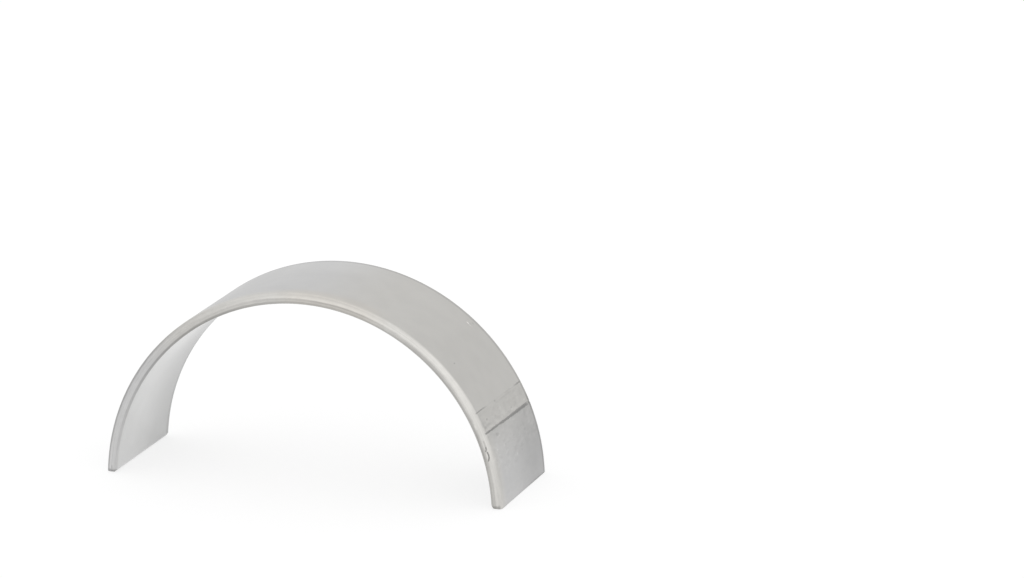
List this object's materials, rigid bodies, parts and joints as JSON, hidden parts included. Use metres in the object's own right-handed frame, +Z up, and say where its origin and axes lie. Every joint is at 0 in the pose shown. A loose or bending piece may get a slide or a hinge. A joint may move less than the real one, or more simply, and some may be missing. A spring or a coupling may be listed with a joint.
{
  "type": "engine bearing shell",
  "caption": "Thin half-round plain bearing shell with chamfered side edges and flat parting faces, lining half of a split crankpin bore.",
  "frame": {"origin": "on the parting plane, midway between the two feet and midway along the width", "axes": "+Y along the bearing axis, +X across the arch from foot to foot, +Z up from the parting plane to the crown"},
  "size_m": [0.0522, 0.0174, 0.0251],
  "materials": {
    "shell": "satin, flash plated"
  },
  "bodies": {
    "root": {"bearing_shell": "shell"}
  },
  "joints": []
}
